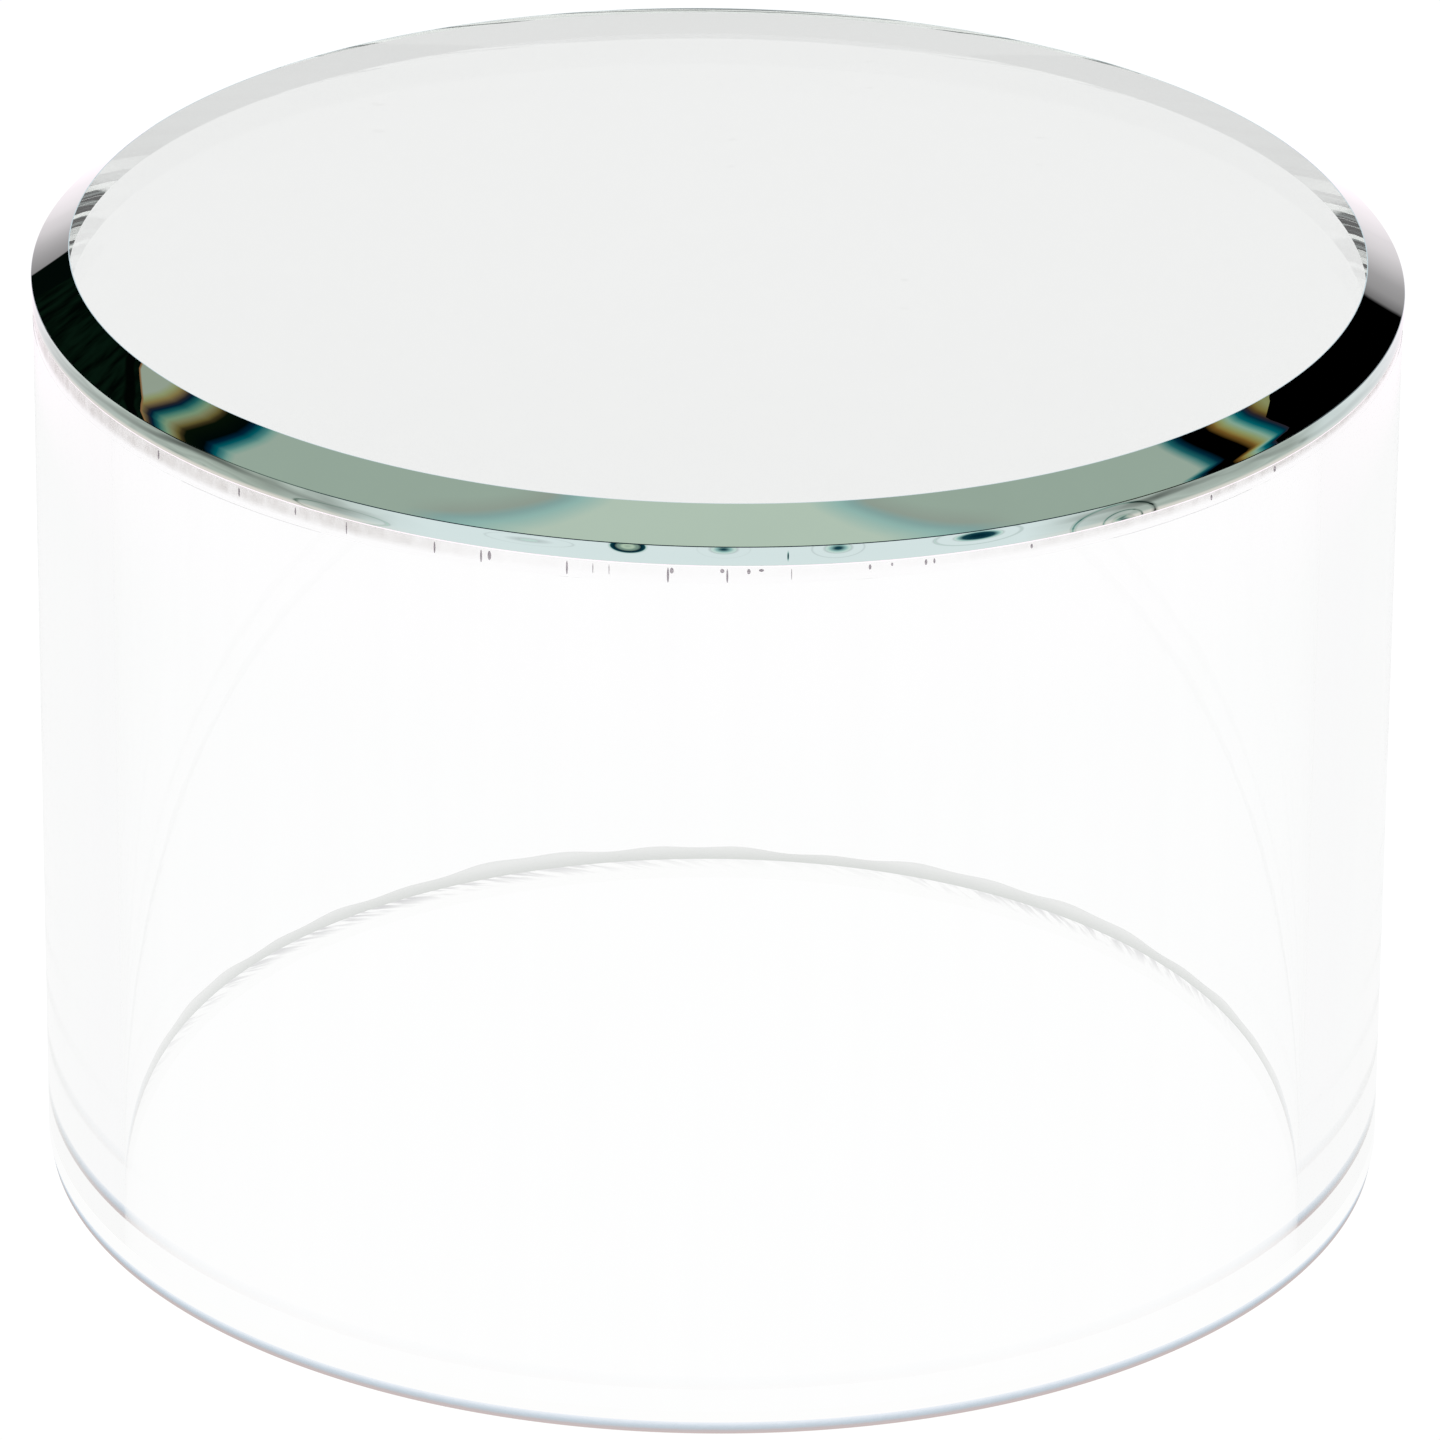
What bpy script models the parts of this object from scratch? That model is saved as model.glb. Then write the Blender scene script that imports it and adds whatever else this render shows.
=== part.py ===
"""Round display riser: a clear acrylic tube with a bevelled silvered mirror bonded on its top.

The tube stands on its open lower end, centred on the world origin, with +Z up.  Every sub-part is
a solid of revolution about +Z, turned from a short profile of (radius, height) points in metres.
"""

import math

import bmesh
import bpy

# ---- driving dimensions, metres ---------------------------------------------------------------

TUBE_OUTER_RADIUS = 0.05715      # 4.5 in outside diameter
TUBE_WALL = 0.00635              # 1/4 in wall
TUBE_HEIGHT = 0.0762             # 3 in length
TUBE_EDGE_BREAK = 0.0003         # small chamfer left by facing the sawn ends

MIRROR_RADIUS = 0.05725          # overhangs the tube by 0.1 mm all round
GLASS_THICKNESS = 0.004
BEVEL_WIDTH = 0.00315            # measured across the face, from the rim inwards
BEVEL_DROP = 0.00235             # height lost from the flat face to the rim
GLASS_ARRIS = 0.0002             # seamed lower corner of the glass

FILM_THICKNESS = 0.00015         # silvering and backing paint, thickened to a solid
FILM_SETBACK = 0.0002            # the films stop just inside the seamed corner
ADHESIVE_THICKNESS = 0.0003
ADHESIVE_SETBACK = 0.0004        # the bond line stays inside both edges of the tube's end
CLEARANCE = 0.00025              # left between neighbouring solids

SEGMENTS = 128                   # facets round the axis
AXIS_TOLERANCE = 1e-7            # a profile point nearer the axis than this lies on it
SMOOTH_ANGLE = math.radians(30)

# ---- heights up the stack ---------------------------------------------------------------------

ADHESIVE_BASE = TUBE_HEIGHT + CLEARANCE
PAINT_BASE = ADHESIVE_BASE + ADHESIVE_THICKNESS + CLEARANCE
SILVER_BASE = PAINT_BASE + FILM_THICKNESS + CLEARANCE
GLASS_BASE = SILVER_BASE + FILM_THICKNESS + CLEARANCE


def clear_scene():
    """Start from a scene with no objects in it."""
    for item in list(bpy.data.objects):
        bpy.data.objects.remove(item, do_unlink=True)


def make_material(name, colour, roughness, metallic=0.0, transmission=0.0, ior=1.5):
    """Principled material; colour is linear RGB."""
    material = bpy.data.materials.new(name)
    material.use_nodes = True
    shader = material.node_tree.nodes["Principled BSDF"]
    shader.inputs["Base Color"].default_value = (*colour, 1.0)
    shader.inputs["Roughness"].default_value = roughness
    shader.inputs["Metallic"].default_value = metallic
    shader.inputs["Transmission Weight"].default_value = transmission
    shader.inputs["IOR"].default_value = ior
    return material


def turn(name, profile, material):
    """Spin a closed profile of (radius, height) points a full turn about Z into one solid.

    A profile that starts and ends on the axis is left open there, so that no edge is spun
    along the axis itself.
    """
    form = bmesh.new()
    points = [form.verts.new((radius, 0.0, height)) for radius, height in profile]
    edges = [form.edges.new(pair) for pair in zip(points, points[1:])]
    starts_on_axis = profile[0][0] < AXIS_TOLERANCE
    ends_on_axis = profile[-1][0] < AXIS_TOLERANCE
    if not (starts_on_axis and ends_on_axis):
        edges.append(form.edges.new((points[-1], points[0])))
    bmesh.ops.spin(
        form,
        geom=points + edges,
        cent=(0.0, 0.0, 0.0),
        axis=(0.0, 0.0, 1.0),
        angle=math.tau,
        steps=SEGMENTS,
        use_merge=True,
    )
    bmesh.ops.remove_doubles(form, verts=form.verts, dist=AXIS_TOLERANCE)
    bmesh.ops.recalc_face_normals(form, faces=form.faces)
    mesh = bpy.data.meshes.new(name)
    form.to_mesh(mesh)
    form.free()
    mesh.shade_smooth()
    mesh.set_sharp_from_angle(angle=SMOOTH_ANGLE)
    mesh.materials.append(material)
    solid = bpy.data.objects.new(name, mesh)
    bpy.context.scene.collection.objects.link(solid)
    return solid


def acrylic_tube():
    """Open-ended tube with a lightly broken edge on all four corners of its wall."""
    outer = TUBE_OUTER_RADIUS
    inner = TUBE_OUTER_RADIUS - TUBE_WALL
    edge = TUBE_EDGE_BREAK
    profile = [
        (inner + edge, 0.0),
        (outer - edge, 0.0),
        (outer, edge),
        (outer, TUBE_HEIGHT - edge),
        (outer - edge, TUBE_HEIGHT),
        (inner + edge, TUBE_HEIGHT),
        (inner, TUBE_HEIGHT - edge),
        (inner, edge),
    ]
    clear_acrylic = make_material("clear_acrylic", (0.97, 0.98, 0.98), 0.02, transmission=1.0, ior=1.49)
    return turn("acrylic_tube", profile, clear_acrylic)


def adhesive_ring():
    """Bond line between the tube's upper end and the back of the mirror."""
    outer = TUBE_OUTER_RADIUS - ADHESIVE_SETBACK
    inner = TUBE_OUTER_RADIUS - TUBE_WALL + ADHESIVE_SETBACK
    profile = [
        (inner, ADHESIVE_BASE),
        (outer, ADHESIVE_BASE),
        (outer, ADHESIVE_BASE + ADHESIVE_THICKNESS),
        (inner, ADHESIVE_BASE + ADHESIVE_THICKNESS),
    ]
    clear_adhesive = make_material("clear_adhesive", (0.93, 0.93, 0.91), 0.15, transmission=1.0, ior=1.45)
    return turn("adhesive_ring", profile, clear_adhesive)


def film_disc(name, base, material):
    """Thin coating over the whole back of the glass."""
    radius = MIRROR_RADIUS - FILM_SETBACK
    profile = [
        (0.0, base),
        (radius, base),
        (radius, base + FILM_THICKNESS),
        (0.0, base + FILM_THICKNESS),
    ]
    return turn(name, profile, material)


def mirror_backing_paint():
    """Protective paint that seals the silvering."""
    backing_paint = make_material("backing_paint", (0.42, 0.43, 0.43), 0.6)
    return film_disc("mirror_backing_paint", PAINT_BASE, backing_paint)


def mirror_silvering():
    """Reflective film behind the glass."""
    silvering = make_material("silvering", (0.93, 0.94, 0.93), 0.01, metallic=1.0)
    return film_disc("mirror_silvering", SILVER_BASE, silvering)


def mirror_glass():
    """Round plate: flat face, wide ground bevel, narrow upright edge and seamed lower corner."""
    top = GLASS_BASE + GLASS_THICKNESS
    profile = [
        (0.0, GLASS_BASE),
        (MIRROR_RADIUS - GLASS_ARRIS, GLASS_BASE),
        (MIRROR_RADIUS, GLASS_BASE + GLASS_ARRIS),
        (MIRROR_RADIUS, top - BEVEL_DROP),
        (MIRROR_RADIUS - BEVEL_WIDTH, top),
        (0.0, top),
    ]
    float_glass = make_material("float_glass", (0.86, 0.95, 0.91), 0.0, transmission=1.0, ior=1.52)
    return turn("mirror_glass", profile, float_glass)


def build():
    clear_scene()
    acrylic_tube()
    adhesive_ring()
    mirror_backing_paint()
    mirror_silvering()
    mirror_glass()


build()
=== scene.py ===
import math

import bmesh
import bpy
from mathutils import Matrix, Vector

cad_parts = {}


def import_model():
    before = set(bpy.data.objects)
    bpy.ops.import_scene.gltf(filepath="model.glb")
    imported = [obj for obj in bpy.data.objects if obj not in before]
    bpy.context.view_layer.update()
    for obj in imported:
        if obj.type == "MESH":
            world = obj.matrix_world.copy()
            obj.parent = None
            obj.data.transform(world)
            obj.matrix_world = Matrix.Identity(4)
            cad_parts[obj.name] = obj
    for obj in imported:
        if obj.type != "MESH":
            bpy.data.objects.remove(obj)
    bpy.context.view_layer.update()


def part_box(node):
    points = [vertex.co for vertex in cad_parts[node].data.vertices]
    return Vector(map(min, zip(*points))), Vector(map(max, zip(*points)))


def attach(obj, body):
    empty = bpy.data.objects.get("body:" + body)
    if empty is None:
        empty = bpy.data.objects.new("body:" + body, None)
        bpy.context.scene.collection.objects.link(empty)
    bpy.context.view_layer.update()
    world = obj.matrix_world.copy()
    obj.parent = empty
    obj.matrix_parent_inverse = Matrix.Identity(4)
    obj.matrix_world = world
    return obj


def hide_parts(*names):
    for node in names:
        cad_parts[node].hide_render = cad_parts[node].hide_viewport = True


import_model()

# ---- sizes, metres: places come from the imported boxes, wall and bevel from the design -----------

TUBE_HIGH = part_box("acrylic_tube")[1]
GLASS_LOW, GLASS_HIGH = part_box("mirror_glass")
TUBE_RADIUS = TUBE_HIGH[0]
TUBE_TOP = TUBE_HIGH[2]
TUBE_WALL = 0.00635
MIRROR_RADIUS = GLASS_HIGH[0]
GLASS_BASE = GLASS_LOW[2]
GLASS_TOP = GLASS_HIGH[2]
BEVEL_WIDTH = 0.00315
BEVEL_DROP = 0.00235
BEVEL_HOLLOW = 0.000017      # how far the bevel dips between its two rims
BEVEL_RINGS = 8
ARRIS = 0.00006              # seamed lower corner of the glass
FOOT_HEIGHT = 0.00115        # whitened band at the tube's sawn lower end
SILVER_THICKNESS = 0.0001
PAINT_THICKNESS = 0.00015
PAINT_SETBACK = 0.0009
LEAN = -0.0076               # slope of the mirror, which was glued a little out of level
HAIR = 0.00001               # gap that keeps two touching faces apart
SEGMENTS = 720

# ---- light --------------------------------------------------------------------------------------

ACRYLIC_IOR = 1.49
GLASS_IOR = 1.52
SHEET_WHITE = (1.03, 1.03, 1.03)  # the sheet and the backdrop as the camera sees them
MANY_TURNS = 14.5                 # beyond this many turns inside the plate, light is all but spent
DEEP = (0.21, 0.225, 0.23)        # what is left of it then
BEVEL_TINT = (0.82, 0.93, 0.86)


# ---- mesh and node helpers ----------------------------------------------------------------------

def lathe(name, profile, closed, shape=None, crease=18):
    """Solid of revolution from (radius, height, slot) points; slot is that of the face after it."""
    form = bmesh.new()
    rings = []
    for k, (radius, height, _) in enumerate(profile):
        if radius < 1e-9:
            rings.append([form.verts.new((0.0, 0.0, height))])
            continue
        ring = []
        for i in range(SEGMENTS):
            turn = math.tau * i / SEGMENTS
            r, z = (radius, height) if shape is None else shape(k, radius, height, turn)
            ring.append(form.verts.new((r * math.cos(turn), r * math.sin(turn), z)))
        rings.append(ring)
    count = len(rings)
    for k in range(count if closed else count - 1):
        lower, upper = rings[k], rings[(k + 1) % count]
        for i in range(SEGMENTS):
            j = (i + 1) % SEGMENTS
            if len(lower) == 1:
                corners = (lower[0], upper[j], upper[i])
            elif len(upper) == 1:
                corners = (lower[i], lower[j], upper[0])
            else:
                corners = (lower[i], lower[j], upper[j], upper[i])
            form.faces.new(corners).material_index = profile[k][2]
    bmesh.ops.recalc_face_normals(form, faces=form.faces)
    mesh = bpy.data.meshes.new(name)
    form.to_mesh(mesh)
    form.free()
    mesh.shade_smooth()
    mesh.set_sharp_from_angle(angle=math.radians(crease))
    piece = bpy.data.objects.new(name, mesh)
    bpy.context.scene.collection.objects.link(piece)
    return piece


def rgba(value):
    """A colour of three numbers with its alpha; a grey or a socket stays as it is."""
    return (*value, 1.0) if isinstance(value, tuple) else value


class Nodes:
    """Short names for the nodes of one material or world."""

    def __init__(self, owner):
        owner.use_nodes = True
        self.tree = owner.node_tree
        self.tree.nodes.clear()

    def add(self, kind, **settings):
        node = self.tree.nodes.new(kind)
        for key, value in settings.items():
            setattr(node, key, value)
        return node

    def put(self, socket, value):
        if isinstance(value, bpy.types.NodeSocket):
            self.tree.links.new(value, socket)
        else:
            socket.default_value = value

    def maths(self, operation, *values):
        node = self.add("ShaderNodeMath", operation=operation)
        for socket, value in zip(node.inputs, values):
            self.put(socket, value)
        return node.outputs[0]

    def ramp(self, value, stops):
        node = self.add("ShaderNodeValToRGB")
        elements = node.color_ramp.elements
        while len(elements) < len(stops):
            elements.new(1.0)
        for element, (place, colour) in zip(elements, stops):
            element.position = place
            element.color = rgba(colour if isinstance(colour, tuple) else (colour,) * 3)
        self.put(node.inputs[0], value)
        return node.outputs[0]

    def mix(self, factor, first, second):
        node = self.add("ShaderNodeMix", data_type="RGBA")
        self.put(node.inputs[0], factor)
        self.put(node.inputs[6], rgba(first))
        self.put(node.inputs[7], rgba(second))
        return node.outputs[2]

    def mix_shader(self, factor, first, second):
        node = self.add("ShaderNodeMixShader")
        self.put(node.inputs[0], factor)
        self.tree.links.new(first, node.inputs[1])
        self.tree.links.new(second, node.inputs[2])
        return node.outputs[0]

    def glass(self, colour, ior, roughness=0.0):
        node = self.add("ShaderNodeBsdfGlass")
        self.put(node.inputs["Color"], rgba(colour))
        node.inputs["IOR"].default_value = ior
        node.inputs["Roughness"].default_value = roughness
        return node.outputs[0]

    def film(self, colour):
        """Light passes straight through and takes this colour."""
        node = self.add("ShaderNodeBsdfTransparent")
        self.put(node.inputs["Color"], rgba(colour))
        return node.outputs[0]

    def noise(self, vector, scale, detail, **settings):
        node = self.add("ShaderNodeTexNoise", **settings)
        self.put(node.inputs["Vector"], vector)
        node.inputs["Scale"].default_value = scale
        node.inputs["Detail"].default_value = detail
        return node.outputs["Fac"]

    def flat(self, across, along):
        """A point of a flat pattern."""
        node = self.add("ShaderNodeCombineXYZ")
        self.put(node.inputs[0], across)
        self.put(node.inputs[1], along)
        return node.outputs[0]

    def axes(self, coordinates):
        """x, y and z of Object or Generated coordinates."""
        coord = self.add("ShaderNodeTexCoord")
        split = self.add("ShaderNodeSeparateXYZ")
        self.put(split.inputs[0], coord.outputs[coordinates])
        return split.outputs

    def surface(self, shader):
        out = self.add("ShaderNodeOutputMaterial")
        self.tree.links.new(shader, out.inputs["Surface"])


def material(name):
    made = bpy.data.materials.new(name)
    return made, Nodes(made)


def principled(nodes, **values):
    node = nodes.add("ShaderNodeBsdfPrincipled")
    for key, value in values.items():
        nodes.put(node.inputs[key.replace("_", " ")], rgba(value))
    return node.outputs[0]


# ---- materials ----------------------------------------------------------------------------------

def clear_joint():
    """Where two bonded pieces meet, light passes as if they were one."""
    made, n = material("bonded_joint")
    n.surface(n.film((1.0, 1.0, 1.0)))
    return made


def cloud(n, scale, detail=2.0, stretch=(1.0, 1.0, 1.0)):
    """Smooth noise fixed to the object."""
    coord = n.add("ShaderNodeTexCoord")
    spread = n.add("ShaderNodeMapping")
    spread.inputs["Scale"].default_value = stretch
    n.put(spread.inputs["Vector"], coord.outputs["Object"])
    return n.noise(spread.outputs[0], scale, detail)


def polished_acrylic():
    """Clear cast acrylic with the faintest draw lines up the wall."""
    made, n = material("polished_acrylic")
    lines = cloud(n, 400.0, 1.0, (1.0, 1.0, 0.05))
    tint = n.ramp(lines, [(0.3, (0.996, 0.997, 0.997)), (0.7, (0.999, 1.0, 1.0))])
    n.surface(n.glass(tint, ACRYLIC_IOR))
    return made


def polar(n):
    """Angle from the front in turns (0 to 1, 0.5 at the back), radius and height of a point."""
    x, y, z = n.axes("Object")
    angle = n.maths("ARCTAN2", n.maths("MULTIPLY", x, -1.0), y)
    turn = n.maths("ADD", n.maths("DIVIDE", angle, math.tau), 0.5)
    radius = n.maths("SQRT", n.maths("ADD", n.maths("MULTIPLY", x, x), n.maths("MULTIPLY", y, y)))
    return turn, radius, z


def sawn_acrylic():
    """Sawn lower face: it lies on the sheet, which shows through it; saw strokes are grey marks."""
    made, n = material("sawn_acrylic")
    turn, radius, _ = polar(n)
    slant = n.maths("ADD", n.maths("MULTIPLY", turn, 330.0), n.maths("MULTIPLY", radius, -900.0))
    where = n.flat(slant, n.maths("MULTIPLY", radius, 260.0))
    marks = n.ramp(n.noise(where, 1.0, 2.0, noise_dimensions="2D"), [(0.42, 0.0), (0.62, 1.0)])
    sector = n.ramp(turn, [
        (0.30, 0.0), (0.335, 0.5), (0.385, 0.75), (0.42, 0.5), (0.47, 0.1), (0.50, 0.15),
        (0.545, 0.7), (0.60, 1.0), (0.66, 0.8), (0.72, 0.3), (0.78, 0.0),
    ])
    outwards = n.maths("MULTIPLY", n.maths("SUBTRACT", radius, 0.0535), 250.0)
    rim = n.ramp(outwards, [(0.0, 0.0), (0.75, 1.0)])
    dark = n.maths("MULTIPLY", n.maths("MULTIPLY", marks, sector), rim)
    n.surface(n.film(n.mix(dark, (0.992, 0.992, 0.988), (0.64, 0.64, 0.65))))
    return made


def saw_break():
    """The outer sawn edge, whitened, its tints along its length shifted by noise, darkest low down."""
    made, n = material("saw_break")
    turn, _, height = polar(n)
    where = n.flat(n.maths("MULTIPLY", turn, 90.0), n.maths("MULTIPLY", height, 900.0))
    level_noise = n.maths("MULTIPLY", n.noise(where, 5.0, 3.0, noise_dimensions="2D"), 0.12)
    level = n.maths("ADD", n.maths("MULTIPLY", height, 1000.0), level_noise)
    level = n.maths("DIVIDE", level, 1.25)
    tone = n.ramp(level, [
        (0.10, (0.55, 0.45, 0.44)), (0.29, (0.50, 0.44, 0.45)), (0.45, (0.46, 0.53, 0.60)),
        (0.64, (0.56, 0.65, 0.74)), (0.92, (0.84, 0.89, 0.96)),
    ])
    plain = n.ramp(level, [(0.12, (0.66, 0.68, 0.66)), (0.92, (0.82, 0.83, 0.82))])
    back = n.ramp(n.maths("ABSOLUTE", n.maths("SUBTRACT", turn, 0.5)), [(0.22, 1.0), (0.3, 0.0)])
    frosted = n.glass((0.8, 0.8, 0.8), ACRYLIC_IOR, 0.3)
    n.surface(n.mix_shader(0.15, n.film(n.mix(back, tone, plain)), frosted))
    return made


def plate_glass():
    """Float glass, with a few faint specks on it."""
    made, n = material("float_glass")
    specks = n.ramp(cloud(n, 420.0, 3.0), [
        (0.74, (0.995, 0.999, 0.997)), (0.80, (0.965, 0.968, 0.965)),
    ])
    n.surface(n.glass(specks, GLASS_IOR))
    return made


def outside_and_in(n, front):
    """A face with its own shader from outside, and clear glass from inside the plate."""
    back = n.glass((0.99, 0.998, 0.993), GLASS_IOR)
    geometry = n.add("ShaderNodeNewGeometry")
    n.surface(n.mix_shader(geometry.outputs["Backfacing"], front, back))


def silvered_glass(name, colour, roughness):
    """Glass over silver seen from outside, where it works as a tinted mirror."""
    made, n = material(name)
    duller = tuple(value * 0.985 for value in colour)
    worn = n.ramp(cloud(n, 260.0, 4.0), [(0.3, duller), (0.7, colour)])
    outside_and_in(n, principled(n, Base_Color=worn, Metallic=1.0, Roughness=roughness))
    return made


# ripples left by grinding on the plate's edge: degrees from the front, height up the edge (0 to 1),
# half width in degrees, half height, tilt of the surface, tilt of the ring around
SPOTS = (
    (-7.0, 0.86, 1.3, 0.31, 1.05, 0.0), (0.6, 0.88, 1.1, 0.24, 0.38, 0.10),
    (-15.0, 0.70, 1.9, 0.13, 0.22, 0.14), (9.7, 0.82, 1.1, 0.26, 0.40, 0.15),
    (21.3, 0.75, 1.95, 0.22, 0.62, 0.22), (-31.5, 0.26, 2.3, 0.14, 0.10, 0.26),
    (33.7, 0.12, 2.1, 0.42, 0.0, 0.36), (34.5, 0.05, 1.0, 0.25, 0.4, 0.35),
    (56.0, 0.40, 0.8, 0.10, 0.24, 0.0), (-49.5, 0.28, 1.9, 0.06, 0.24, 0.1),
    (5.7, 0.50, 0.08, 0.26, 0.5, 0.0),
)


def edge_glass():
    """The ground and polished edge: a mirror with ripples, calm in front and busy at the sides; its
    colour holds painted reflections: dark streaks, a darker tone at the sides and a paler foot.
    """
    made, n = material("edge_glass")
    x, y, z = n.axes("Object")
    angle = n.maths("ARCTAN2", x, n.maths("MULTIPLY", y, -1.0))
    angle = n.maths("MULTIPLY", angle, 180.0 / math.pi)
    turned = n.maths("ADD", n.maths("DIVIDE", angle, 180.0), 0.5)
    aside = n.maths("ABSOLUTE", angle)
    level = n.maths("SUBTRACT", z, n.maths("MULTIPLY", x, LEAN))
    edge_height = GLASS_TOP - BEVEL_DROP - GLASS_BASE
    up = n.maths("DIVIDE", n.maths("SUBTRACT", level, GLASS_BASE), edge_height)

    # flow lines along the sides, and a slow swirl that bends them; they tilt the surface and also place
    # painted dark reflections in its colour
    drift = n.ramp(n.maths("DIVIDE", aside, 90.0), [
        (0.28, 0.95), (0.36, 0.75), (0.46, 0.45), (0.53, 0.40), (0.60, 0.55), (0.68, 0.85),
        (0.80, 0.95),
    ])
    where = n.flat(n.maths("MULTIPLY", angle, 0.16), n.maths("MULTIPLY", up, 1.1))
    swirl = n.maths("SUBTRACT", n.noise(where, 1.0, 1.5, noise_dimensions="2D"), 0.5)
    flow = n.maths("ADD", up, n.maths("MULTIPLY", drift, 0.5))
    flow = n.maths("ADD", flow, n.maths("MULTIPLY", swirl, 0.9))
    flow = n.maths("DIVIDE", flow, 1.6)
    lines = n.ramp(flow, [
        (0.10, 0.04), (0.20, 0.12), (0.26, 0.03), (0.33, 0.0), (0.38, 0.15), (0.42, 0.08),
        (0.50, 0.10), (0.58, 0.13), (0.66, 0.18), (0.70, 0.08), (0.76, 0.02), (0.84, 0.10),
        (0.92, 0.03),
    ])
    # painted dark reflections: how dark the colour turns along the flow lines
    dark_reflection = n.ramp(flow, [
        (0.10, 0.15), (0.24, 0.20), (0.30, 0.62), (0.345, 0.68), (0.385, 0.22), (0.43, 0.45),
        (0.50, 0.66), (0.57, 0.72), (0.63, 0.90), (0.70, 0.93), (0.76, 0.65), (0.80, 0.2),
        (0.90, 0.12),
    ])
    share = n.ramp(turned, [
        (0.0, 0.3), (0.08, 0.5), (0.14, 0.75), (0.20, 0.9), (0.28, 1.0), (0.32, 0.7), (0.355, 0.1),
        (0.37, 0.02), (0.64, 0.02), (0.67, 0.45), (0.70, 0.85), (0.80, 0.85), (0.83, 0.3),
        (0.90, 0.25), (1.0, 0.35),
    ])
    tilt = n.maths("MULTIPLY", lines, share)
    for centre, high, half_wide, half_high, peak, ring in SPOTS:
        across = n.maths("DIVIDE", n.maths("SUBTRACT", angle, centre), half_wide)
        along = n.maths("DIVIDE", n.maths("SUBTRACT", up, high), half_high)
        across, along = n.maths("MULTIPLY", across, across), n.maths("MULTIPLY", along, along)
        spot = n.ramp(n.maths("DIVIDE", n.maths("ADD", across, along), 8.0), [
            (0.0, peak), (0.025, peak * 0.82), (0.06, peak * 0.66), (0.10, peak * 0.52),
            (0.14, peak * 0.36), (0.18, peak * 0.12), (0.22, 0.0), (0.36, 0.0), (0.46, ring),
            (0.56, 0.0),
        ])
        tilt = n.maths("ADD", tilt, spot)
    geometry = n.add("ShaderNodeNewGeometry")
    lift = n.add("ShaderNodeCombineXYZ")
    n.put(lift.inputs[2], tilt)
    added = n.add("ShaderNodeVectorMath", operation="ADD")
    n.put(added.inputs[0], geometry.outputs["Normal"])
    n.put(added.inputs[1], lift.outputs[0])
    unit = n.add("ShaderNodeVectorMath", operation="NORMALIZE")
    n.put(unit.inputs[0], added.outputs[0])

    # a painted dark reflection, a streak winding along each side: its height up the edge, how dark it
    # is along its length, and how it fades across
    streak_height = n.ramp(turned, [
        (0.11, 0.45), (0.144, 0.50), (0.167, 0.58), (0.211, 0.74), (0.244, 0.95), (0.278, 0.76),
        (0.30, 0.55), (0.322, 0.45), (0.344, 0.40), (0.667, 0.72), (0.70, 0.75), (0.733, 0.80),
        (0.778, 0.74), (0.80, 0.52), (0.822, 0.40), (0.889, 0.35),
    ])
    streak_darkness = n.ramp(turned, [
        (0.056, 0.10), (0.122, 0.35), (0.167, 0.45), (0.20, 0.60), (0.233, 0.95), (0.256, 0.85),
        (0.278, 0.42), (0.30, 0.40), (0.322, 0.50), (0.339, 0.25), (0.356, 0.0), (0.65, 0.0),
        (0.667, 0.35), (0.689, 0.50), (0.711, 0.85), (0.733, 0.55), (0.756, 0.30), (0.778, 0.50),
        (0.80, 0.45), (0.822, 0.22), (0.867, 0.22), (0.917, 0.10),
    ])
    streak_height = n.maths("ADD", streak_height, n.maths("MULTIPLY", swirl, 0.3))
    apart = n.maths("ABSOLUTE", n.maths("SUBTRACT", up, streak_height))
    faded = n.ramp(apart, [(0.0, 1.0), (0.09, 0.85), (0.20, 0.25), (0.30, 0.0)])
    dark_streak = n.maths("MULTIPLY", faded, streak_darkness)
    # low down the colour turns paler, a painted lighter reflection, and the painted dark reflections
    # weaken
    foot = n.ramp(up, [(0.0, 1.0), (0.14, 0.85), (0.26, 0.0)])
    darkest = n.maths("SUBTRACT", 0.40, n.maths("MULTIPLY", foot, 0.38))
    dark_reflection = n.maths("MULTIPLY", n.maths("MULTIPLY", share, dark_reflection), darkest)
    # painted reflections in the colour: darker at the sides, paler olive low down, near black in the
    # streaks
    colour = n.mix(share, (0.54, 0.716, 0.66), (0.335, 0.45, 0.365))
    colour = n.mix(n.maths("MULTIPLY", foot, share), colour, (0.61, 0.66, 0.56))
    colour = n.mix(n.maths("MAXIMUM", dark_reflection, dark_streak), colour, (0.048, 0.068, 0.054))
    front = principled(n, Base_Color=colour, Metallic=1.0, Roughness=0.03, Normal=unit.outputs[0])
    outside_and_in(n, front)
    return made


def silver_metal():
    made, n = material("silver")
    film = n.ramp(cloud(n, 150.0), [(0.3, (0.970, 0.970, 0.968)), (0.7, (0.974, 0.974, 0.972))])
    n.surface(principled(n, Base_Color=film, Metallic=1.0, Roughness=0.0))
    return made


def paint_coat():
    made, n = material("backing_paint")
    coat = n.ramp(cloud(n, 700.0, 4.0), [(0.3, (0.38, 0.39, 0.39)), (0.7, (0.45, 0.46, 0.46))])
    n.surface(principled(n, Base_Color=coat, Roughness=0.6))
    return made


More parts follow.
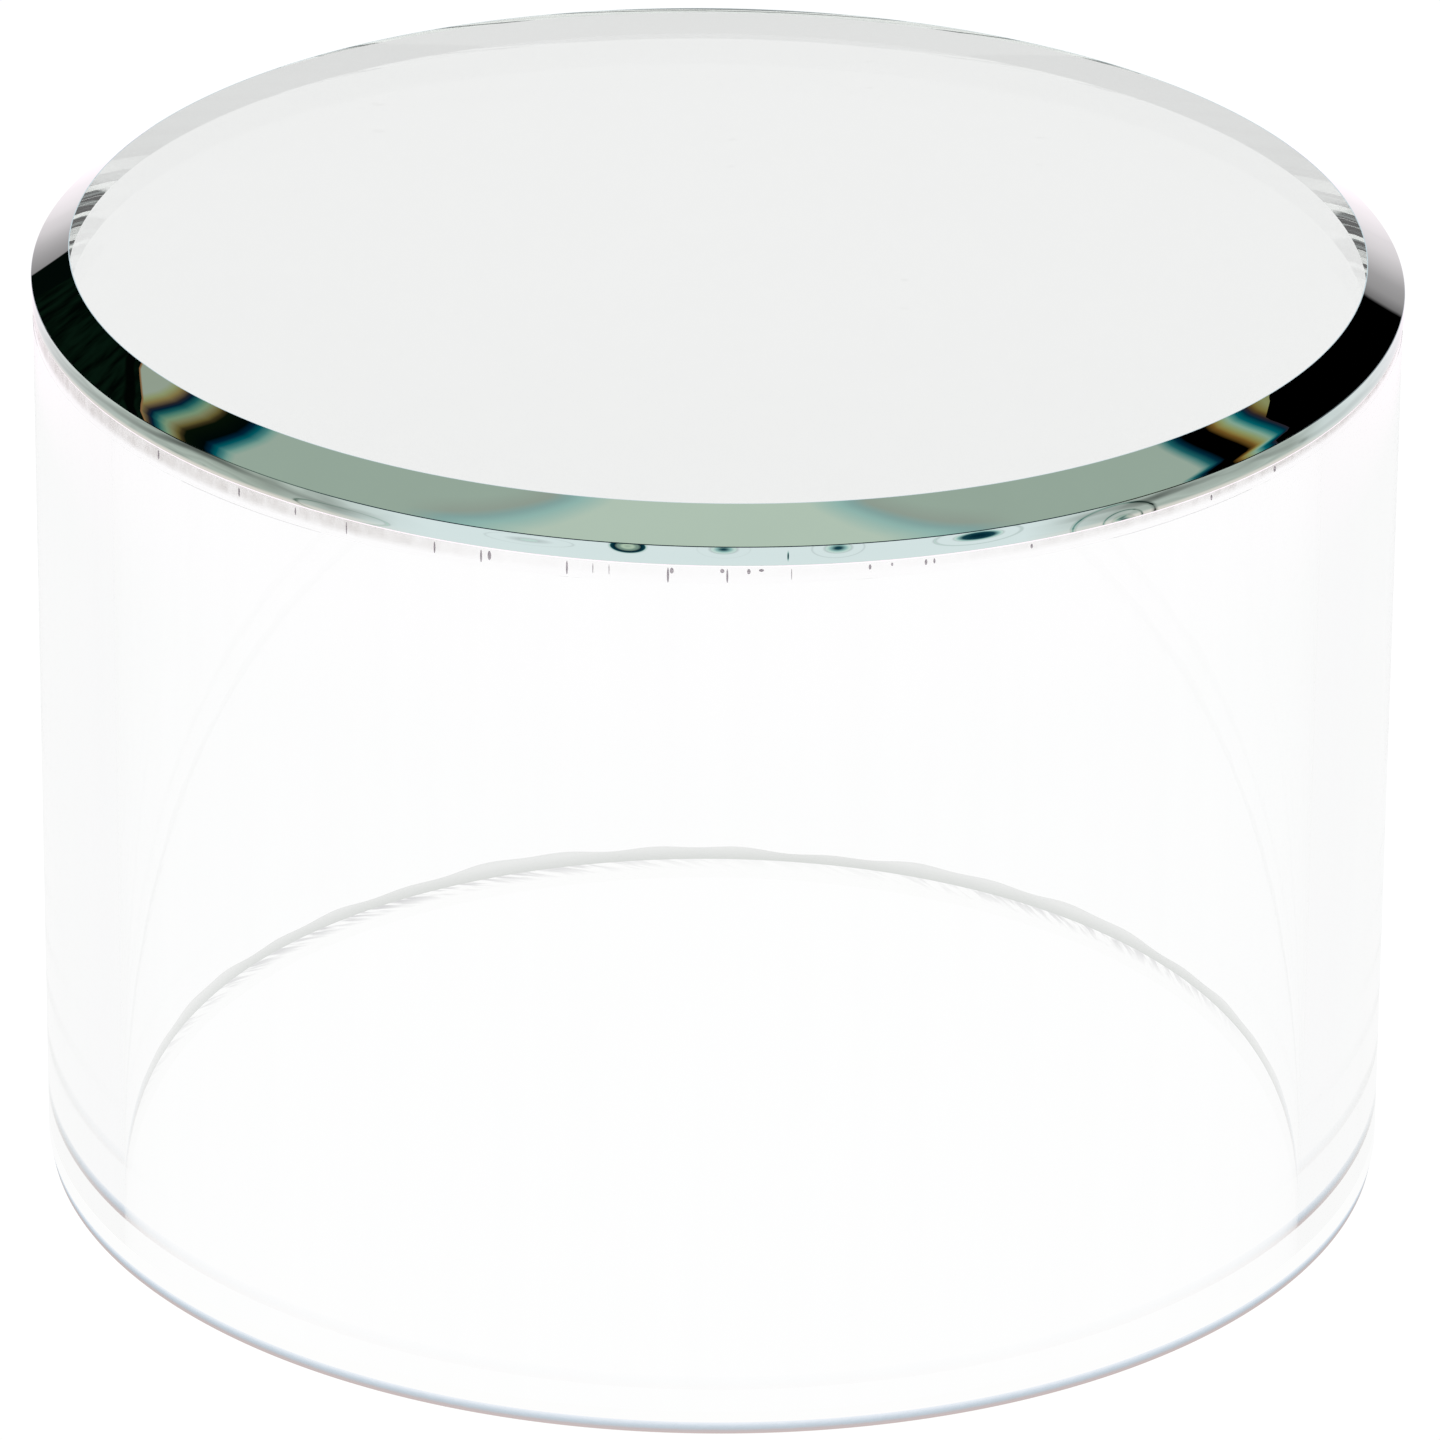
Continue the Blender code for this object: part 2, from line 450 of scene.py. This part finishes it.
def adhesive_clear():
    """Clear glue, streaked, darker towards the sides and up under the mirror."""
    made, n = material("adhesive")
    turn, _, height = polar(n)
    wide = n.ramp(turn, [
        (0.0, 0.06), (0.05, 0.10), (0.085, 0.45), (0.14, 0.75), (0.16, 0.9), (0.22, 0.9),
        (0.26, 0.35), (0.31, 0.04), (0.69, 0.04), (0.74, 0.35), (0.80, 0.75), (0.92, 0.70),
        (0.95, 0.12), (1.0, 0.06),
    ])
    up = n.maths("DIVIDE", n.maths("SUBTRACT", height, GLASS_BASE - 0.0013), 0.0011)
    high = n.ramp(up, [(0.1, 0.0), (0.55, 0.85), (0.8, 1.0), (1.0, 0.95)])
    streaks = n.ramp(cloud(n, 900.0, 3.0, (1.0, 1.0, 0.45)), [(0.3, 0.45), (0.7, 1.0)])
    glue_darkening = n.maths("MULTIPLY", n.maths("MULTIPLY", streaks, wide), high)
    tint = n.mix(glue_darkening, (0.99, 0.988, 0.99), (0.58, 0.55, 0.53))
    n.surface(n.glass(tint, ACRYLIC_IOR, 0.02))
    return made


def set_adhesive():
    """Squeezed-out drops: darker, with grit in them."""
    made, n = material("adhesive_drops")
    grit = n.ramp(cloud(n, 2500.0, 3.0), [(0.35, (0.22, 0.20, 0.22)), (0.65, (0.42, 0.39, 0.41))])
    dull = principled(n, Base_Color=grit, Roughness=0.3)
    n.surface(n.mix_shader(0.4, n.film((0.80, 0.77, 0.80)), dull))
    return made


# ---- pieces -------------------------------------------------------------------------------------

def tube():
    """Slots: 0 walls, 1 sawn lower end, 2 bonded upper end, 3 whitened band at the lower end."""
    ro, ri, h = TUBE_RADIUS, TUBE_RADIUS - TUBE_WALL, TUBE_TOP
    profile = [(ri, 0.0, 1), (ro - 0.00022, 0.0, 3), (ro, FOOT_HEIGHT, 0), (ro, h, 2), (ri, h, 0)]

    def shape(k, radius, height, turn):
        """The band at the sawn end is ragged behind."""
        if k == 2:
            behind = max(0.0, math.sin(turn)) ** 0.5
            ragged = math.sin(7 * turn + 1.0) + 0.7 * math.sin(17 * turn)
            ragged += 0.5 * math.sin(41 * turn + 2.0)
            height += behind * 0.00022 * ragged
        return radius, height

    piece = lathe("tube_wall", profile, True, shape=shape, crease=8)
    for made in (polished_acrylic(), sawn_acrylic(), JOINT, saw_break()):
        piece.data.materials.append(made)
    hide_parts("acrylic_tube")
    return piece


def leaning(k, radius, height, turn):
    """The mirror and the films under it share one slope across X."""
    return radius, height + LEAN * radius * math.cos(turn)


def glass_plate():
    """Slots: 0 flats, 1 edge, 2 bevel, 3 lower arris, 4 upper arris, 5 foot of the bevel."""
    R, z0, z1 = MIRROR_RADIUS, GLASS_BASE, GLASS_TOP
    zb = z1 - BEVEL_DROP
    profile = [(0.0, z0, 0), (R - ARRIS, z0, 3), (R, z0 + ARRIS, 1)]
    profile.append((R, z0 + ARRIS + (zb - z0 - ARRIS) / 2, 1))
    profile.append((R, zb - 0.00004, 5))
    length = math.hypot(BEVEL_WIDTH, BEVEL_DROP)
    out_r, out_z = BEVEL_DROP / length, BEVEL_WIDTH / length
    start = 0.012
    profile.append((R - BEVEL_WIDTH * start, zb + BEVEL_DROP * start, 2))
    for i in range(1, BEVEL_RINGS + 1):
        s = start + (1 - start) * i / BEVEL_RINGS
        sag = BEVEL_HOLLOW * 4 * s * (1 - s)
        slot = 4 if i == BEVEL_RINGS else 2
        radius, height = R - BEVEL_WIDTH * s - sag * out_r, zb + BEVEL_DROP * s - sag * out_z
        profile.append((radius, height, slot))
    profile.append((R - BEVEL_WIDTH - 0.00008, z1, 0))
    profile.append((0.0, z1, 0))

    piece = lathe("bevelled_glass", profile, False, shape=leaning)
    for made in (
        plate_glass(), edge_glass(), silvered_glass("bevel_glass", BEVEL_TINT, 0.0),
        silvered_glass("lower_arris", (0.74, 0.78, 0.75), 0.25),
        silvered_glass("upper_arris", (0.62, 0.76, 0.82), 0.2),
        silvered_glass("bevel_foot", (0.30, 0.42, 0.42), 0.12),
    ):
        piece.data.materials.append(made)
    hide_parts("mirror_glass")
    return piece


def disc(name, radius, top, thickness):
    base = top - thickness
    profile = [(0.0, base, 0), (radius, base, 0), (radius, top, 0), (0.0, top, 0)]
    return lathe(name, profile, False, shape=leaning)


def silver():
    """The silver starts just inside the glass, so that no air gap shows between them."""
    radius, top = MIRROR_RADIUS - ARRIS - HAIR, GLASS_BASE + 0.00002
    piece = disc("silver_film", radius, top, SILVER_THICKNESS)
    piece.data.materials.append(silver_metal())
    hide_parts("mirror_silvering")
    return piece


def paint():
    radius, top = MIRROR_RADIUS - PAINT_SETBACK, GLASS_BASE - 0.00008
    piece = disc("backing_paint", radius, top, PAINT_THICKNESS)
    piece.data.materials.append(paint_coat())
    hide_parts("mirror_backing_paint")
    return piece


# drops of glue under the rim: degrees from the front, length and width in millimetres
DROPS = (
    (-31.0, 1.1, 0.10), (-23.0, 1.0, 0.16), (-19.0, 1.1, 0.16), (-18.3, 0.8, 0.30),
    (-11.9, 1.2, 0.16), (-9.8, 0.9, 0.07), (-8.5, 0.9, 0.07), (-3.8, 1.3, 0.18),
    (-3.5, 0.5, 0.30), (0.9, 1.2, 0.16), (0.5, 0.35, 0.34), (2.6, 0.45, 0.28), (3.6, 0.25, 0.4),
    (6.0, 1.0, 0.06), (12.3, 0.45, 0.22), (14.1, 0.3, 0.16), (16.9, 0.5, 0.22),
    (17.6, 0.45, 0.16), (26.0, 0.4, 0.20), (-36.0, 0.7, 0.12), (-42.0, 0.8, 0.16),
    (-52.0, 0.8, 0.2), (44.0, 0.5, 0.2), (52.0, 0.5, 0.3),
)
HALF_MM = 0.0005
DROP_DEPTH = 0.00006


def adhesive():
    """A ring between tube and mirror, with a lip that fills the corner outside the paint.

    Slots: 0 walls, 1 bonded faces, 2 drops.
    """
    ro, ri = TUBE_RADIUS - HAIR, TUBE_RADIUS - TUBE_WALL + HAIR
    z0, z1, lip = TUBE_TOP + HAIR, GLASS_BASE - 0.00024, GLASS_BASE - 0.00009
    inside = MIRROR_RADIUS - PAINT_SETBACK + 0.00004
    profile = [(ri, z0, 1), (ro, z0, 0), (ro, lip, 1), (inside, lip, 1), (inside, z1, 1), (ri, z1, 0)]

    def shape(k, radius, height, turn):
        return (radius, height) if k < 2 else leaning(k, radius, height, turn)

    piece = lathe("adhesive_bead", profile, True, shape=shape)
    form = bmesh.new()
    form.from_mesh(piece.data)
    for phi, hang, wide in DROPS:
        a = math.radians(phi)
        level = GLASS_BASE - 0.00028 - hang * HALF_MM + LEAN * TUBE_RADIUS * math.sin(a)
        spot = (TUBE_RADIUS * math.sin(a), -TUBE_RADIUS * math.cos(a), level)
        place = Matrix.Translation(spot) @ Matrix.Rotation(a, 4, "Z")
        size = Matrix.Diagonal((wide * HALF_MM, DROP_DEPTH, hang * HALF_MM, 1.0))
        made = bmesh.ops.create_icosphere(form, subdivisions=3, radius=1.0, matrix=place @ size)
        for face in {face for vert in made["verts"] for face in vert.link_faces}:
            face.material_index = 2
            face.smooth = True
    form.to_mesh(piece.data)
    form.free()
    for made in (adhesive_clear(), JOINT, set_adhesive()):
        piece.data.materials.append(made)
    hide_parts("adhesive_ring")
    return piece


# ---- studio -------------------------------------------------------------------------------------

def camera():
    """In front, looking down at the riser; angles in radians."""
    distance, height = 15.217 * MIRROR_RADIUS, 7.6866 * MIRROR_RADIUS
    yaw, pitch, roll = 0.0005, 0.43237, 0.0076
    level = math.cos(pitch)
    forward = Vector((math.sin(yaw) * level, math.cos(yaw) * level, -math.sin(pitch)))
    right = forward.cross(Vector((0, 0, 1))).normalized()
    up = right.cross(forward)
    tilted_right = math.cos(roll) * right + math.sin(roll) * up
    tilted_up = -math.sin(roll) * right + math.cos(roll) * up
    stand = Matrix((tilted_right, tilted_up, -forward)).transposed().to_4x4()
    stand.translation = Vector((0, -distance, height))
    data = bpy.data.cameras.new("camera")
    data.sensor_width = 36
    data.lens = 282.3
    data.clip_end = 100
    made = bpy.data.objects.new("camera", data)
    made.matrix_world = stand
    bpy.context.scene.collection.objects.link(made)
    bpy.context.scene.camera = made


def tinted(red, green, blue):
    """Light that a bevel facet turns into this colour."""
    return tuple(value / tint for value, tint in zip((red, green, blue), BEVEL_TINT))


def pale(value):
    return tinted(value, value, value)


GREY = tinted(0.295, 0.385, 0.32)


def stripes(n, angle, colours):
    """Bands of colour from first to first + span degrees round the bevel."""
    first, span = 40.0, 20.0
    return n.ramp(n.maths("DIVIDE", n.maths("SUBTRACT", angle, first), span), [
        ((where - first) / span, colour) for where, colour in colours
    ])


def flags(n, x, z, coordinates):
    """Black flags beside the table, 12 to 50 degrees up, with coloured fringes along their front.

    place is degrees round the bevel and up the share of its width: where on the bevel a direction
    shows when the riser is seen from the front.
    """
    side = n.maths("ABSOLUTE", x)
    left = n.maths("LESS_THAN", x, 0.0)
    across = n.maths("SUBTRACT", side, 0.64)
    rise = n.maths("SUBTRACT", z, 0.62)

    def facet(constant, sideways, first, second, third):
        total = n.maths("ADD", n.maths("MULTIPLY", rise, third), second)
        total = n.maths("ADD", n.maths("MULTIPLY", rise, total), first)
        total = n.maths("ADD", n.maths("MULTIPLY", rise, total), constant)
        return n.maths("ADD", total, n.maths("MULTIPLY", across, sideways))

    leaned = n.maths("SUBTRACT", left, 0.5)
    place = facet(51.9, -37.0, -79.2, -94.0, -138.0)
    place = n.maths("ADD", place, n.maths("MULTIPLY", leaned, 0.68))
    up = n.maths("ADD", facet(0.407, 34.8, 2.5, 53.8, 65.0), n.maths("MULTIPLY", leaned, 0.4))

    # the stripes bend to and fro across the bevel, by a few degrees
    left_sway = n.ramp(up, [
        (0.0, 0.05), (0.08, 0.55), (0.19, 0.825), (0.33, 0.875), (0.55, 0.61), (0.77, 0.35),
        (0.95, 0.25), (1.0, 0.225),
    ])
    right_sway = n.ramp(up, [
        (0.0, 0.375), (0.05, 0.85), (0.10, 0.975), (0.19, 0.925), (0.33, 0.80), (0.55, 0.56),
        (0.77, 0.35), (0.95, 0.25), (1.0, 0.225),
    ])
    sway = n.mix(left, right_sway, left_sway)
    sway = n.maths("SUBTRACT", n.maths("MULTIPLY", sway, 4.0), 1.0)
    stripe = n.maths("SUBTRACT", place, sway)
    right_flag = stripes(n, stripe, [
        (40.1, GREY), (41.0, tinted(0.09, 0.23, 0.21)), (41.5, tinted(0.01, 0.11, 0.12)),
        (42.4, tinted(0.0, 0.02, 0.04)), (43.2, 0.0), (46.1, 0.0), (47.0, tinted(0.15, 0.08, 0.015)),
        (47.5, tinted(0.235, 0.19, 0.05)), (48.2, tinted(0.25, 0.3, 0.13)),
        (49.0, tinted(0.22, 0.37, 0.28)), (49.6, tinted(0.07, 0.25, 0.22)),
        (50.2, tinted(0.0, 0.11, 0.13)), (51.2, tinted(0.0, 0.02, 0.04)),
        (51.8, tinted(0.02, 0.015, 0.02)), (52.4, tinted(0.09, 0.055, 0.015)),
        (53.0, tinted(0.18, 0.15, 0.04)), (54.2, tinted(0.23, 0.25, 0.11)),
    ])
    left_flag = stripes(n, stripe, [
        (40.2, GREY), (41.0, tinted(0.18, 0.33, 0.28)), (41.6, tinted(0.06, 0.21, 0.2)),
        (42.4, tinted(0.0, 0.09, 0.11)), (43.2, tinted(0.0, 0.015, 0.035)), (44.0, (0.0, 0.002, 0.002)),
        (46.5, (0.002, 0.005, 0.002)), (47.1, tinted(0.04, 0.03, 0.01)),
        (47.6, tinted(0.12, 0.10, 0.03)), (48.4, tinted(0.19, 0.2, 0.1)),
        (49.2, tinted(0.18, 0.28, 0.17)), (50.0, tinted(0.07, 0.2, 0.15)),
        (50.6, tinted(0.01, 0.1, 0.1)), (51.4, tinted(0.0, 0.012, 0.03)),
        (51.9, tinted(0.015, 0.015, 0.02)), (52.5, tinted(0.11, 0.08, 0.04)),
        (53.1, tinted(0.21, 0.17, 0.06)), (54.0, tinted(0.25, 0.29, 0.14)),
        (55.0, tinted(0.28, 0.34, 0.27)),
    ])

    # beyond these slanted lines the flags are black, the left one a worn dark green
    def beyond(stops):
        end = n.maths("ADD", n.maths("MULTIPLY", n.ramp(up, stops), 10.0), 50.0)
        return n.maths("SUBTRACT", place, end)

    beyond_right = beyond([
        (0.0, 0.23), (0.05, 0.42), (0.10, 0.47), (0.19, 0.45), (0.33, 0.40), (0.45, 0.35),
        (0.565, 0.32), (0.73, 0.43), (0.877, 0.53), (0.964, 0.655),
    ])
    beyond_left = beyond([
        (0.0, 0.3), (0.08, 0.41), (0.15, 0.515), (0.44, 0.62), (0.695, 0.78), (0.93, 0.935),
        (1.0, 0.98),
    ])
    green = n.ramp(n.noise(coordinates, 45.0, 2.5), [
        (0.36, (0.0004, 0.0016, 0.0010)), (0.64, (0.0024, 0.0085, 0.0048)),
    ])
    green = n.mix(n.ramp(n.maths("DIVIDE", beyond_left, 5.0), [
        (0.0, 0.0), (0.16, 0.1), (0.24, 1.0), (0.5, 1.0), (0.62, 0.0),
    ]), green, (0.0005, 0.0012, 0.0008))
    fringe = n.ramp(n.maths("ADD", beyond_left, 0.4), [(0.0, 0.0), (0.25, 1.0)])
    left_flag = n.mix(fringe, left_flag, tinted(0.22, 0.12, 0.05))
    right_flag = n.mix(n.maths("GREATER_THAN", beyond_right, 0.0), right_flag, (0.0, 0.0, 0.0))
    left_flag = n.mix(n.maths("GREATER_THAN", beyond_left, 0.0), left_flag, green)
    return n.mix(left, right_flag, left_flag)


def overhead(n, x, y, z):
    """Light above the flags: a paler panel straight above the front of the table."""
    side = n.maths("ABSOLUTE", x)
    left = n.maths("LESS_THAN", x, 0.0)
    panel = n.maths("SUBTRACT", side, n.maths("MULTIPLY", y, 1.094))
    panel = n.maths("SUBTRACT", panel, n.maths("SUBTRACT", 0.018, n.maths("MULTIPLY", left, 0.004)))
    lighter = n.ramp(panel, [
        (0.29, tinted(0.43, 0.54, 0.45)), (0.325, tinted(0.27, 0.45, 0.41)),
        (0.338, tinted(0.22, 0.36, 0.34)), (0.352, tinted(0.27, 0.33, 0.28)), (0.38, GREY),
    ])
    return n.mix(n.ramp(z, [(0.90, 0.0), (0.925, 1.0)]), GREY, lighter)


def horizon(n, x, z):
    """Pale low down, darkening to the foot of the flags."""
    level = n.maths("ADD", z, 0.5)
    low_left = n.ramp(level, [
        (0.22, 0.95), (0.34, (0.93, 0.865, 0.905)), (0.44, pale(0.70)), (0.49, pale(0.6)),
        (0.536, pale(0.44)), (0.568, pale(0.35)), (0.61, pale(0.26)), (0.64, pale(0.20)),
    ])
    slope = n.maths("MULTIPLY", n.maths("SUBTRACT", n.maths("ABSOLUTE", x), 0.42), 2.9)
    cut = n.ramp(n.maths("ADD", z, slope), [(0.124, 0.0), (0.134, 1.0)])
    low_left = n.mix(cut, low_left, (0.0006, 0.0025, 0.0018))
    low_right = n.ramp(level, [
        (0.22, 0.95), (0.34, (0.93, 0.865, 0.905)), (0.46, pale(0.69)), (0.505, pale(0.62)),
        (0.552, pale(0.49)), (0.6, pale(0.34)), (0.647, pale(0.28)), (0.68, pale(0.16)), (0.69, 0.0),
    ])
    return n.mix(n.maths("LESS_THAN", x, 0.0), low_right, low_left)


def world():
    """A studio for what the glass reflects; everything else sees an even bright surround."""
    made = bpy.data.worlds.new("studio")
    bpy.context.scene.world = made
    n = Nodes(made)
    coord = n.add("ShaderNodeTexCoord")
    x, y, z = n.axes("Generated")
    high = flags(n, x, z, coord.outputs["Generated"])
    lamp = n.mix(n.ramp(z, [(0.76, 0.0), (0.78, 1.0)]), high, overhead(n, x, y, z))
    studio = n.mix(n.maths("LESS_THAN", z, 0.2), lamp, horizon(n, x, z))

    # a pale backdrop behind the table, and a shaded room in front of it
    middle = n.ramp(n.maths("ABSOLUTE", x), [(0.17, 1.0), (0.24, 0.0)])
    backdrop = n.maths("MULTIPLY", middle, n.ramp(y, [(0.4, 0.0), (0.6, 1.0)]))
    studio = n.mix(backdrop, studio, (0.88, 0.88, 0.88))
    shade = n.ramp(z, [
        (0.04, 0.95), (0.16, (0.45, 0.62, 0.64)), (0.3, (0.01, 0.07, 0.1)),
        (0.62, (0.0, 0.02, 0.04)), (0.75, tinted(0.27, 0.36, 0.295)),
    ])
    shade = n.mix(n.ramp(z, [(0.80, 0.0), (0.88, 1.0)]), shade, tinted(0.62, 0.70, 0.54))
    front = n.ramp(n.maths("ADD", y, 0.5), [(0.10, 1.0), (0.25, 0.0)])
    studio = n.mix(front, studio, shade)

    # light by path: mirrored once outside, turned inside the glass, scattered, or seen directly
    path = n.add("ShaderNodeLightPath")
    glossy = path.outputs["Glossy Depth"]
    outside = n.maths("LESS_THAN", path.outputs["Transmission Depth"], 0.5)
    outer = n.maths("MULTIPLY", n.maths("COMPARE", glossy, 1.0, 0.5), outside)
    within = n.maths("GREATER_THAN", glossy, 0.5)
    ceiling = n.ramp(z, [
        (0.0, 0.955), (0.3, 0.90), (0.385, 0.905), (0.415, 0.885), (0.45, 0.862), (0.6, 0.75),
    ])
    seen = n.mix(within, (1.0, 1.0, 1.0), ceiling)
    seen = n.mix(n.maths("GREATER_THAN", glossy, MANY_TURNS), seen, DEEP)
    seen = n.mix(outer, seen, studio)
    seen = n.mix(path.outputs["Is Diffuse Ray"], seen, (1.0, 1.0, 1.0))
    seen = n.mix(path.outputs["Is Camera Ray"], seen, SHEET_WHITE)
    back = n.add("ShaderNodeBackground")
    n.put(back.inputs["Color"], seen)
    out = n.add("ShaderNodeOutputWorld")
    n.put(out.inputs["Surface"], back.outputs[0])


FLOOR_RADIUS = 1.6


def floor():
    form = bmesh.new()
    bmesh.ops.create_circle(form, cap_ends=True, segments=96, radius=FLOOR_RADIUS)
    mesh = bpy.data.meshes.new("floor")
    form.to_mesh(mesh)
    form.free()
    made = bpy.data.objects.new("floor", mesh)
    made.location.z = -0.00002
    bpy.context.scene.collection.objects.link(made)
    sheet, n = material("white_sheet")
    path = n.add("ShaderNodeLightPath")
    glossy = path.outputs["Glossy Depth"]
    radius = polar(n)[1]
    within = n.maths("GREATER_THAN", glossy, 0.5)
    crossed = n.maths("GREATER_THAN", path.outputs["Transmission Depth"], 0.5)
    far = n.ramp(n.maths("DIVIDE", radius, FLOOR_RADIUS), [
        (0.112, (0.965, 0.965, 0.965)), (0.128, pale(1.0)), (0.19, pale(1.0)), (0.25, pale(0.93)),
        (0.34, pale(0.85)), (0.55, pale(0.78)), (1.0, pale(0.69)),
    ])
    glow = n.mix(crossed, far, (0.955, 0.955, 0.955))
    glow = n.mix(within, (1.0, 1.0, 1.0), glow)
    glow = n.mix(n.maths("GREATER_THAN", glossy, MANY_TURNS), glow, DEEP)
    glow = n.mix(path.outputs["Is Diffuse Ray"], glow, (0.9, 0.9, 0.9))
    glow = n.mix(path.outputs["Is Camera Ray"], glow, SHEET_WHITE)
    lit = n.add("ShaderNodeEmission")
    n.put(lit.inputs["Color"], glow)
    n.surface(lit.outputs[0])
    mesh.materials.append(sheet)


JOINT = clear_joint()
for make in (tube, glass_plate, silver, paint, adhesive):
    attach(make(), "root")
camera()
world()
floor()
scene = bpy.context.scene
scene.view_settings.view_transform = "Standard"
scene.cycles.max_bounces = 32
scene.cycles.glossy_bounces = 24
scene.cycles.transmission_bounces = 24
scene.cycles.transparent_max_bounces = 32
